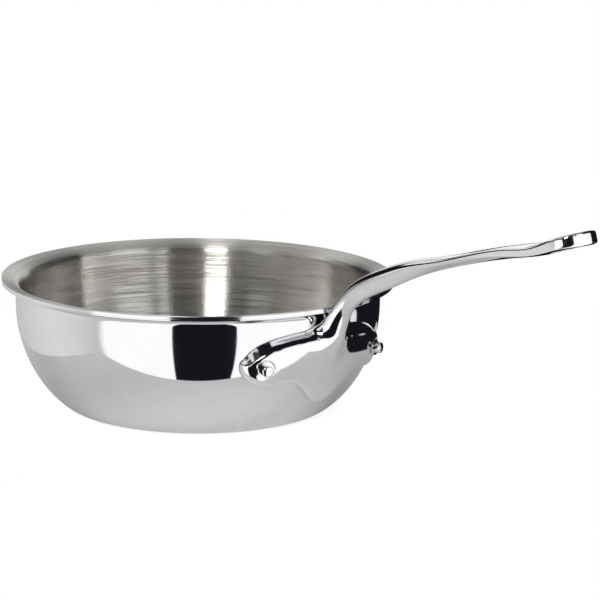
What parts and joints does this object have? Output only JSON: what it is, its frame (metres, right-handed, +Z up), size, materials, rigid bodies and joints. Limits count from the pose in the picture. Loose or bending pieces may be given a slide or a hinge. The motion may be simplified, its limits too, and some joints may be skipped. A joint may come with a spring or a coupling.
{
  "type": "saute pan",
  "caption": "Round saute pan with curved sides, a flared pouring lip and a long rising cast handle, riveted to the wall through a winged flange.",
  "frame": {"origin": "centre of the flat base, on the surface that the pan stands on", "axes": "+X from the pan's axis along the handle, +Z up out of the pan's mouth"},
  "size_m": [0.3814, 0.216, 0.1349],
  "materials": {
    "polished_steel": "polished",
    "alloy_ply": "satin",
    "aluminium_core": "satin",
    "brushed_steel": "satin",
    "cast_steel": "polished",
    "rivet_steel": "polished"
  },
  "bodies": {
    "root": {"outer_steel_skin": "polished_steel", "outer_alloy_ply": "alloy_ply", "aluminium_core": "aluminium_core", "inner_alloy_ply": "alloy_ply", "inner_steel_skin": "brushed_steel", "handle": "cast_steel", "rivet_left": "rivet_steel", "rivet_right": "rivet_steel"}
  },
  "joints": []
}
